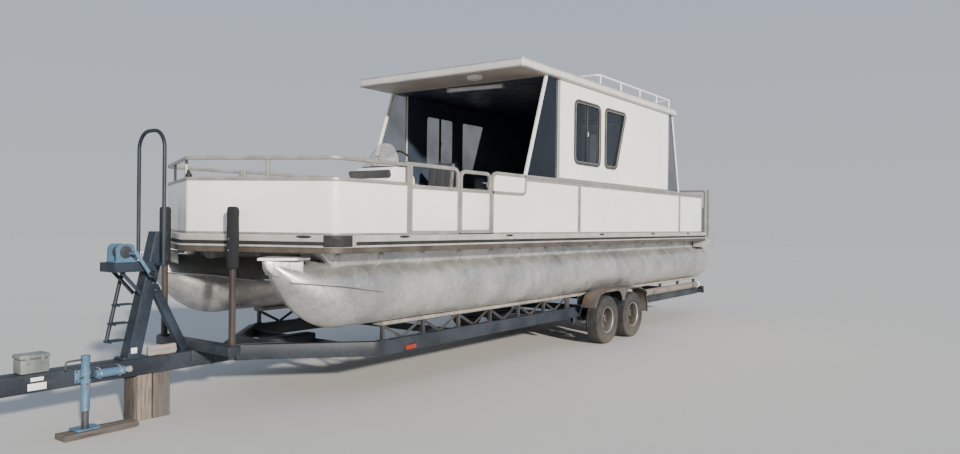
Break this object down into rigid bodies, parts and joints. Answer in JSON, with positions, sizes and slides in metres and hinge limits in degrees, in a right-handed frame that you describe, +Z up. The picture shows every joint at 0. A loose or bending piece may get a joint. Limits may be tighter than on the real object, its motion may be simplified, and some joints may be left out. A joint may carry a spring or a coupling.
{
  "type": "pontoon houseboat on a tandem axle trailer",
  "caption": "Pontoon houseboat with an enclosed cabin, fenced decks and an outboard motor, standing on its bunk trailer with winch stand, boarding ladder and tongue jack.",
  "frame": {"origin": "on the ground under the middle of the whole outline", "axes": "+X to the bow and the coupler, +Y to port, +Z up"},
  "size_m": [12.8234, 2.59, 3.6853],
  "materials": {
    "weathered_aluminium": "weathered, mottled",
    "carpet": "low loop pile",
    "rail_aluminium": "satin, weathered",
    "white_panel": "satin, slightly dirty",
    "tinted_glass": "smooth, tinted",
    "dark_vinyl": "grained vinyl",
    "clear_plastic": "clear, smooth",
    "black_rubber": "matte",
    "engine_shell": "semi-gloss",
    "grey_paint": "worn paint with rust",
    "galvanized": "dull galvanized, rust stains",
    "tyre": "dusty rubber",
    "steel_rim": "worn, rusty",
    "worn_fender": "flaking paint over rust",
    "black_paint": "worn black paint",
    "blue_paint": "faded paint",
    "pale_pipe": "dusty plastic",
    "timber": "weathered rough sawn"
  },
  "bodies": {
    "root": {"pontoon_port": "weathered_aluminium", "pontoon_starboard": "weathered_aluminium", "deck_frame": "weathered_aluminium", "deck_floor": "carpet", "fence_bow_port": "rail_aluminium", "fence_bow_starboard": "rail_aluminium", "fence_port": "rail_aluminium", "fence_starboard": "rail_aluminium", "fence_stern_port": "rail_aluminium", "fence_stern_starboard": "rail_aluminium", "roof_rail": "rail_aluminium", "panel_bow": "white_panel", "panel_port": "white_panel", "panel_starboard": "white_panel", "cabin_wall_port": "white_panel", "cabin_wall_starboard": "white_panel", "cabin_wall_rear": "white_panel", "roof": "white_panel", "window_slider_port": "tinted_glass", "window_slider_starboard": "tinted_glass", "window_raked_port": "tinted_glass", "window_raked_starboard": "tinted_glass", "quarter_glass_front_port": "tinted_glass", "quarter_glass_front_starboard": "tinted_glass", "quarter_glass_rear_port": "tinted_glass", "quarter_glass_rear_starboard": "tinted_glass", "helm_console": "dark_vinyl", "helm_seat": "dark_vinyl", "windshield": "clear_plastic", "bow_stop_port": "black_rubber", "bow_stop_starboard": "black_rubber", "motor_clamp": "engine_shell", "trailer_frame": "grey_paint", "axle_front": "grey_paint", "axle_rear": "grey_paint", "bunk_port": "galvanized", "bunk_starboard": "galvanized", "fender_port": "worn_fender", "fender_starboard": "worn_fender", "winch_stand": "black_paint", "winch": "blue_paint", "jack": "blue_paint", "side_pipe": "pale_pipe", "timber_props": "timber", "timber_plank": "timber"},
    "gate_port": {"gate_port": "rail_aluminium"},
    "gate_stern": {"gate_stern": "rail_aluminium"},
    "cabin_door": {"cabin_door": "white_panel"},
    "motor_swivel": {"motor_swivel": "engine_shell"},
    "motor_head": {"motor_head": "engine_shell"},
    "propeller": {"propeller": "engine_shell"},
    "steering_wheel": {"steering_wheel": "black_rubber"},
    "wheel_front_port": {"tyre_front_port": "tyre", "rim_front_port": "steel_rim"},
    "wheel_front_starboard": {"tyre_front_starboard": "tyre", "rim_front_starboard": "steel_rim"},
    "wheel_rear_port": {"tyre_rear_port": "tyre", "rim_rear_port": "steel_rim"},
    "wheel_rear_starboard": {"tyre_rear_starboard": "tyre", "rim_rear_starboard": "steel_rim"}
  },
  "joints": [
    {"name": "wheel_front_port", "type": "hinge", "parent": "root", "child": "wheel_front_port", "pos_m": [-1.21825, 1.165, 0.3315], "axis": [0, 1, 0], "continuous": true},
    {"name": "wheel_front_starboard", "type": "hinge", "parent": "root", "child": "wheel_front_starboard", "pos_m": [-1.21825, -1.165, 0.3315], "axis": [0, 1, 0], "continuous": true},
    {"name": "wheel_rear_port", "type": "hinge", "parent": "root", "child": "wheel_rear_port", "pos_m": [-2.05325, 1.165, 0.3315], "axis": [0, 1, 0], "continuous": true},
    {"name": "wheel_rear_starboard", "type": "hinge", "parent": "root", "child": "wheel_rear_starboard", "pos_m": [-2.05325, -1.165, 0.3315], "axis": [0, 1, 0], "continuous": true},
    {"name": "gate_port", "type": "hinge", "parent": "root", "child": "gate_port", "pos_m": [2.19125, 1.207, 1.53], "axis": [0, 0, 1], "range_deg": [0, 100]},
    {"name": "gate_stern", "type": "hinge", "parent": "root", "child": "gate_stern", "pos_m": [-5.27425, 0.2965, 1.53], "axis": [0, 0, 1], "range_deg": [0, 95]},
    {"name": "cabin_door", "type": "hinge", "parent": "root", "child": "cabin_door", "pos_m": [-3.36825, -0.2965, 1.56], "axis": [0, 0, 1], "range_deg": [0, 105]},
    {"name": "motor_tilt", "type": "hinge", "parent": "root", "child": "motor_swivel", "pos_m": [-5.99825, 0, 1.38], "axis": [0, 1, 0], "range_deg": [0, 60]},
    {"name": "motor_steer", "type": "hinge", "parent": "motor_swivel", "child": "motor_head", "pos_m": [-6.08325, 0, 1.38], "axis": [0, 0, 1], "range_deg": [-30, 30]},
    {"name": "propeller", "type": "hinge", "parent": "motor_head", "child": "propeller", "pos_m": [-6.31825, 0, 0.64], "axis": [1, 0, 0], "continuous": true},
    {"name": "steering_wheel", "type": "hinge", "parent": "root", "child": "steering_wheel", "pos_m": [0.90675, -0.69, 2.4], "axis": [-0.9063, 0, 0.4226], "range_deg": [-450, 450]}
  ],
  "couplings": [
    {"joint": "steering_wheel", "follows": "motor_steer", "ratio": -15}
  ]
}
